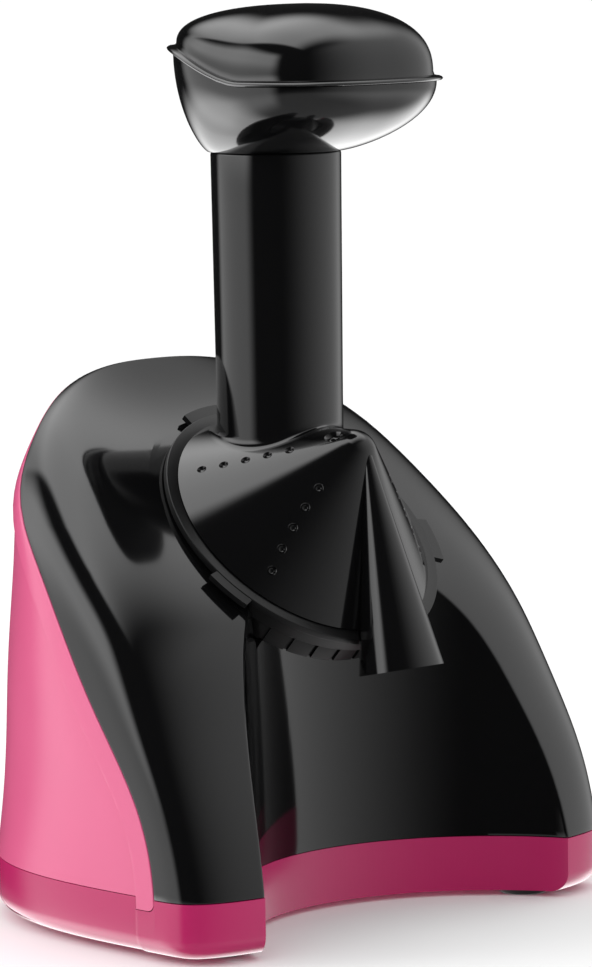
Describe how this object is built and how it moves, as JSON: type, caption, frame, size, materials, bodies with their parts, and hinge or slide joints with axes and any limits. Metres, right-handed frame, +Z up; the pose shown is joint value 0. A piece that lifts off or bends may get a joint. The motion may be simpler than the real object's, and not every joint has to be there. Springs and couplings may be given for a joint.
{
  "type": "ice cream maker",
  "caption": "Countertop frozen-fruit dessert maker: upright feed tube with a plunger, tilted cone housing with a spout, and an arched motor base.",
  "frame": {"origin": "under the middle of the whole part's box, on the surface it stands on", "axes": "+Z up, -Y towards the user (spout side), +X to the right seen from the spout side"},
  "size_m": [0.2424, 0.2112, 0.3764],
  "materials": {
    "gloss_black": "polished injection-moulded plastic",
    "matte_black": "fine matte moulded plastic",
    "side_pink": "satin-gloss moulded plastic",
    "plinth_magenta": "satin-gloss moulded plastic",
    "black_rubber": "soft black rubber",
    "grey_silicone": "translucent grey silicone",
    "steel": "plain steel",
    "blade_steel": "stainless steel",
    "bronze": "sintered bronze",
    "white_nylon": "natural white nylon",
    "copper_tone": "copper",
    "board_green": "printed circuit board"
  },
  "bodies": {
    "base": {"base_plinth": "plinth_magenta", "foot_front_left": "black_rubber", "foot_front_right": "black_rubber", "foot_rear_left": "black_rubber", "foot_rear_right": "black_rubber", "rear_shell": "side_pink", "front_shell": "gloss_black", "switch_bezel": "matte_black", "cord_gland": "black_rubber", "circuit_board": "board_green", "power_relay": "white_nylon", "suppressor_capacitor": "copper_tone", "gearbox_cover": "matte_black", "gearbox_housing": "matte_black", "gearbox_screw_1": "steel", "gearbox_screw_2": "steel", "gearbox_screw_3": "steel", "output_bush_front": "bronze", "output_bush_rear": "bronze", "shaft_seal": "grey_silicone", "motor_can": "steel", "motor_end_cap": "matte_black", "motor_bearing_front": "bronze", "motor_bearing_rear": "bronze", "field_core": "steel", "brush_holder_1": "bronze", "brush_holder_2": "bronze", "case_screw_front_left": "steel", "case_screw_front_right": "steel", "case_screw_rear_left": "steel", "case_screw_rear_right": "steel"},
    "switch": {"switch_rocker": "gloss_black"},
    "drive": {"drive_gear": "white_nylon", "output_shaft": "steel", "drive_coupling": "steel"},
    "cutter": {"cutter_cone": "white_nylon", "cutter_blade_1": "blade_steel", "cutter_blade_2": "blade_steel", "cutter_blade_3": "blade_steel", "cutter_blade_4": "blade_steel", "cutter_blade_5": "blade_steel", "cutter_blade_6": "blade_steel"},
    "rotor": {"motor_shaft": "steel", "motor_pinion": "steel", "armature_core": "steel", "commutator": "copper_tone", "cooling_fan": "white_nylon"},
    "cap": {"bottom_cap": "matte_black", "cap_gasket": "grey_silicone"},
    "chute": {"chute_housing": "gloss_black", "spout_nozzle": "gloss_black", "lock_ring": "matte_black"},
    "plunger": {"plunger_shaft": "gloss_black", "pusher_foot": "matte_black", "handle_bowl": "gloss_black", "handle_lid": "gloss_black"}
  },
  "joints": [
    {"name": "drive_spin", "type": "hinge", "parent": "base", "child": "drive", "pos_m": [0, -0.03263, 0.162], "axis": [0, -0.6896, 0.7242], "continuous": true},
    {"name": "rotor_spin", "type": "hinge", "parent": "base", "child": "rotor", "pos_m": [0.0303, -0.03263, 0.162], "axis": [0, -0.6896, 0.7242], "continuous": true},
    {"name": "chute_lift", "type": "slide", "parent": "base", "child": "cap", "axis": [0, -0.6896, 0.7242], "range_m": [0, 0.06]},
    {"name": "cutter_lift", "type": "slide", "parent": "drive", "child": "cutter", "axis": [0, -0.6896, 0.7242], "range_m": [0, 0.06]},
    {"name": "chute_twist", "type": "hinge", "parent": "cap", "child": "chute", "pos_m": [0, -0.03263, 0.162], "axis": [0, -0.6896, 0.7242], "range_deg": [0, 30]},
    {"name": "plunger_lift", "type": "slide", "parent": "chute", "child": "plunger", "axis": [0, 0, 1], "range_m": [0, 0.12]},
    {"name": "switch_rock", "type": "hinge", "parent": "base", "child": "switch", "pos_m": [0, 0.09415, 0.07963], "axis": [1, 0, 0], "range_deg": [-12, 0]}
  ],
  "couplings": [
    {"joint": "rotor_spin", "follows": "drive_spin", "ratio": -3.2857},
    {"joint": "cutter_lift", "follows": "chute_lift", "ratio": 1}
  ]
}
